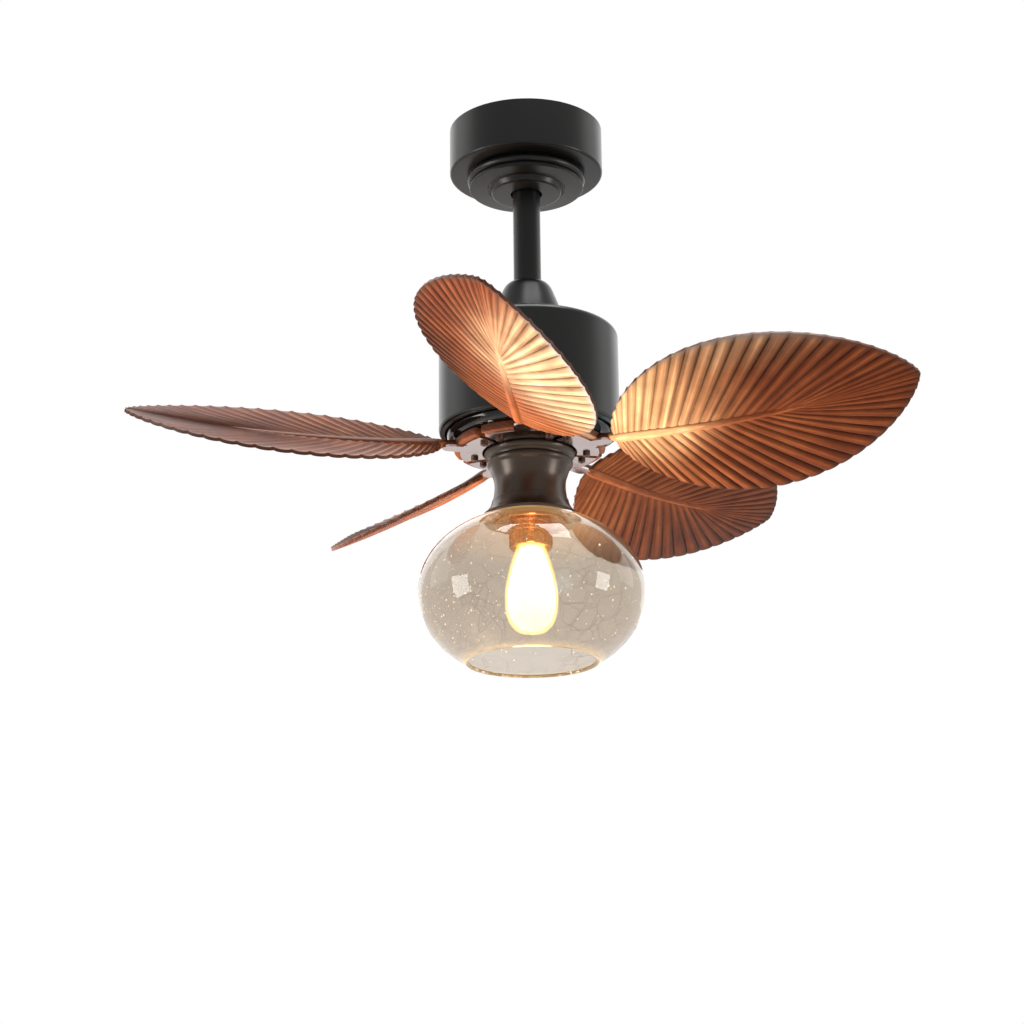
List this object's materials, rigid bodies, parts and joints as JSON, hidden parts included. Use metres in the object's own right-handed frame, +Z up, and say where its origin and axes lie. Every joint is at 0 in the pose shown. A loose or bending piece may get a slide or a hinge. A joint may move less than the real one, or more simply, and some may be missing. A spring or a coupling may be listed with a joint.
{
  "type": "ceiling fan",
  "caption": "Ceiling fan with pitched, pleated leaf blades on a drum motor, a downrod with a stepped canopy, and a globe of seeded glass round a lamp below.",
  "frame": {"origin": "centre of the ceiling plate's upper face, in the plane of the ceiling", "axes": "+Z up towards the ceiling, +X to the right and +Y away as seen in the picture"},
  "size_m": [0.7222, 0.7095, 0.5399],
  "materials": {
    "satin_black": "satin",
    "gloss_black": "gloss",
    "dark_bronze": "satin",
    "zinc_steel": "zinc plated",
    "bearing_steel": "polished",
    "core_steel": "laminated",
    "copper_wire": "enamelled",
    "magnet": "matte",
    "cast_alloy": "cast",
    "nylon": "matte",
    "dark_plastic": "matte",
    "leaf_wood": "satin stain",
    "rose_metal": "satin",
    "brown_screw": "satin",
    "copper_trim": "brushed",
    "socket_brass": "plain",
    "seeded_glass": "seeded, lightly tinted",
    "bulb_glass": "clear",
    "filament": "glowing",
    "cap_metal": "rolled",
    "seal_rubber": "matte",
    "lead_rubber": "matte"
  },
  "bodies": {
    "ceiling_mount": {"hanger_bracket": "zinc_steel", "canopy": "satin_black", "canopy_cover": "satin_black", "canopy_screws": "zinc_steel", "receiver_box": "dark_plastic", "terminal_block": "nylon"},
    "liner": {"seat_liner": "nylon"},
    "drop": {"hanger_ball": "dark_plastic", "ball_pin": "zinc_steel", "downrod": "satin_black", "motor_yoke": "core_steel", "clevis_pin": "zinc_steel", "cotter_pin": "zinc_steel", "yoke_set_screws": "zinc_steel", "coupling_cover": "satin_black", "motor_housing": "satin_black", "housing_screws": "zinc_steel", "motor_shaft": "zinc_steel", "wiring_lead": "lead_rubber", "stator_core": "core_steel", "stator_windings": "copper_wire", "upper_bearing_inner": "bearing_steel", "lower_bearing_inner": "bearing_steel", "light_neck": "dark_bronze", "shaft_nut": "zinc_steel", "lamp_nipple": "zinc_steel", "lampholder": "copper_trim", "socket_shell": "socket_brass", "centre_contact": "socket_brass", "shade_ring": "copper_trim", "shade_gasket": "seal_rubber", "glass_crown": "seeded_glass", "glass_bowl": "seeded_glass"},
    "rotor": {"rotor_shell": "cast_alloy", "rotor_cover": "gloss_black", "rotor_screws": "zinc_steel", "rotor_magnets": "magnet", "upper_bearing_outer": "bearing_steel", "lower_bearing_outer": "bearing_steel", "blade_screws": "brown_screw", "blade_iron_1": "rose_metal", "blade_iron_2": "rose_metal", "blade_iron_3": "rose_metal", "blade_iron_4": "rose_metal", "blade_iron_5": "rose_metal", "blade_1": "leaf_wood", "blade_2": "leaf_wood", "blade_3": "leaf_wood", "blade_4": "leaf_wood", "blade_5": "leaf_wood"},
    "upper_cage": {"upper_bearing_balls": "bearing_steel"},
    "lower_cage": {"lower_bearing_balls": "bearing_steel"},
    "bulb": {"bulb_glass": "bulb_glass", "bulb_cap": "cap_metal", "bulb_filament": "filament"}
  },
  "joints": [
    {"name": "liner_tilt", "type": "hinge", "parent": "ceiling_mount", "child": "liner", "pos_m": [0, 0, -0.031], "axis": [1, 0, 0], "range_deg": [-1.5, 1.5]},
    {"name": "rod_tilt", "type": "hinge", "parent": "liner", "child": "drop", "pos_m": [0, 0, -0.031], "axis": [0, 1, 0], "range_deg": [-1.5, 1.5]},
    {"name": "rotor_spin", "type": "hinge", "parent": "drop", "child": "rotor", "pos_m": [0, 0, -0.27], "axis": [0, 0, 1], "continuous": true},
    {"name": "upper_cage_spin", "type": "hinge", "parent": "drop", "child": "upper_cage", "pos_m": [0, 0, -0.236], "axis": [0, 0, 1], "continuous": true},
    {"name": "lower_cage_spin", "type": "hinge", "parent": "drop", "child": "lower_cage", "pos_m": [0, 0, -0.309], "axis": [0, 0, 1], "continuous": true},
    {"name": "bulb_unscrew", "type": "slide", "parent": "drop", "child": "bulb", "axis": [0, 0, -1], "range_m": [0, 0.03]}
  ],
  "couplings": [
    {"joint": "upper_cage_spin", "follows": "rotor_spin", "ratio": 0.60242},
    {"joint": "lower_cage_spin", "follows": "rotor_spin", "ratio": 0.60242}
  ]
}
